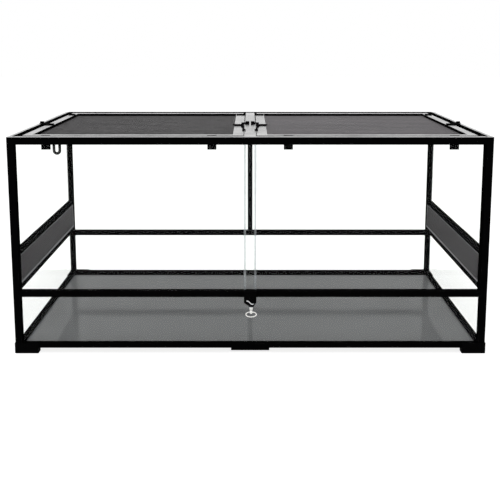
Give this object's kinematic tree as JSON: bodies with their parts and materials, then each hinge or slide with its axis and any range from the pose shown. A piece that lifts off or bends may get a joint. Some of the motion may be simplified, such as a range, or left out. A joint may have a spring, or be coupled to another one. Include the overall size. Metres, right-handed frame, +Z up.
{
  "type": "reptile terrarium",
  "caption": "Wide front-opening glass enclosure on a black bar frame, with sliding doors, a key lock, side vents and lift-off mesh lids.",
  "frame": {"origin": "centre of the overall bounding box at ground level, under the middle of the enclosure", "axes": "+X to the right seen from the front, +Y from the door side to the rear, +Z up"},
  "size_m": [1.22, 0.628, 0.5718],
  "materials": {
    "powder_coated_bar": "black powder coat on aluminium extrusions",
    "lid_bar": "black satin powder coat on aluminium extrusions",
    "moulded_plastic": "black moulded nylon",
    "lock_plastic": "black moulded ABS",
    "clear_glass": "clear tempered glass",
    "grey_floor": "glossy grey sheet",
    "dark_mesh": "black coated woven wire",
    "chrome": "polished chrome plate",
    "key_steel": "nickel-plated steel"
  },
  "bodies": {
    "frame": {"base_rail_front": "powder_coated_bar", "base_rail_rear": "powder_coated_bar", "base_rail_left": "powder_coated_bar", "base_rail_right": "powder_coated_bar", "foot_front_left": "moulded_plastic", "foot_front_right": "moulded_plastic", "foot_rear_left": "moulded_plastic", "foot_rear_right": "moulded_plastic", "centre_feet": "moulded_plastic", "floor_panel": "grey_floor", "post_front_left": "powder_coated_bar", "post_front_right": "powder_coated_bar", "post_rear_left": "powder_coated_bar", "post_rear_right": "powder_coated_bar", "top_corners": "moulded_plastic", "lid_ledge_front": "powder_coated_bar", "top_rail_front": "powder_coated_bar", "top_rail_rear": "powder_coated_bar", "top_rail_left": "powder_coated_bar", "top_rail_right": "powder_coated_bar", "centre_beam": "powder_coated_bar", "front_mid_rail": "powder_coated_bar", "rear_mid_rail": "powder_coated_bar", "rear_mullion": "powder_coated_bar", "vent_rails_left": "powder_coated_bar", "vent_rails_right": "powder_coated_bar", "vent_mesh_left": "dark_mesh", "vent_mesh_right": "dark_mesh", "glass_front_lower": "clear_glass", "glass_rear_lower": "clear_glass", "glass_rear_left": "clear_glass", "glass_rear_right": "clear_glass", "glass_left_upper": "clear_glass", "glass_left_lower": "clear_glass", "glass_right_upper": "clear_glass", "glass_right_lower": "clear_glass", "door_track_lower": "moulded_plastic", "door_track_upper": "moulded_plastic", "lock_case": "lock_plastic", "lock_cylinder": "chrome"},
    "door_left": {"door_left": "clear_glass"},
    "door_right": {"door_right": "clear_glass"},
    "lid_left": {"lid_frame_left": "lid_bar", "lid_mesh_left": "dark_mesh", "lid_clips_left": "moulded_plastic", "cable_hook": "moulded_plastic"},
    "lid_right": {"lid_frame_right": "lid_bar", "lid_mesh_right": "dark_mesh", "lid_clips_right": "moulded_plastic"},
    "latch_left_outer": {"latch_left_outer": "moulded_plastic"},
    "latch_left_inner": {"latch_left_inner": "moulded_plastic"},
    "latch_right_inner": {"latch_right_inner": "moulded_plastic"},
    "latch_right_outer": {"latch_right_outer": "moulded_plastic"},
    "knob_left_outer": {"knob_left_outer": "moulded_plastic"},
    "knob_left_inner": {"knob_left_inner": "moulded_plastic"},
    "knob_right_inner": {"knob_right_inner": "moulded_plastic"},
    "knob_right_outer": {"knob_right_outer": "moulded_plastic"},
    "lock_core": {"lock_plug": "chrome", "lock_cam": "key_steel", "key": "key_steel"}
  },
  "joints": [
    {"name": "door_left_slide", "type": "slide", "parent": "frame", "child": "door_left", "axis": [1, 0, 0], "range_m": [0, 0.573]},
    {"name": "door_right_slide", "type": "slide", "parent": "frame", "child": "door_right", "axis": [-1, 0, 0], "range_m": [0, 0.573]},
    {"name": "lid_left_lift", "type": "slide", "parent": "frame", "child": "lid_left", "axis": [0, 0, 1], "range_m": [0, 0.2]},
    {"name": "lid_right_lift", "type": "slide", "parent": "frame", "child": "lid_right", "axis": [0, 0, 1], "range_m": [0, 0.2]},
    {"name": "latch_left_inner_slide", "type": "slide", "parent": "lid_left", "child": "latch_left_inner", "axis": [0, -1, 0], "range_m": [0, 0.005]},
    {"name": "knob_left_inner_turn", "type": "hinge", "parent": "lid_left", "child": "knob_left_inner", "pos_m": [-0.0075, -0.009, 0.57], "axis": [0, 0, 1], "range_deg": [0, 90]},
    {"name": "latch_left_outer_slide", "type": "slide", "parent": "lid_left", "child": "latch_left_outer", "axis": [0, -1, 0], "range_m": [0, 0.005]},
    {"name": "knob_left_outer_turn", "type": "hinge", "parent": "lid_left", "child": "knob_left_outer", "pos_m": [-0.597, -0.009, 0.57], "axis": [0, 0, 1], "range_deg": [0, 90]},
    {"name": "latch_right_inner_slide", "type": "slide", "parent": "lid_right", "child": "latch_right_inner", "axis": [0, -1, 0], "range_m": [0, 0.005]},
    {"name": "knob_right_inner_turn", "type": "hinge", "parent": "lid_right", "child": "knob_right_inner", "pos_m": [0.0075, -0.009, 0.57], "axis": [0, 0, 1], "range_deg": [0, 90]},
    {"name": "latch_right_outer_slide", "type": "slide", "parent": "lid_right", "child": "latch_right_outer", "axis": [0, -1, 0], "range_m": [0, 0.005]},
    {"name": "knob_right_outer_turn", "type": "hinge", "parent": "lid_right", "child": "knob_right_outer", "pos_m": [0.597, -0.009, 0.57], "axis": [0, 0, 1], "range_deg": [0, 90]},
    {"name": "key_turn", "type": "hinge", "parent": "frame", "child": "lock_core", "pos_m": [0.0025, -0.304, 0.13], "axis": [0, 0, 1], "range_deg": [0, 90]}
  ]
}
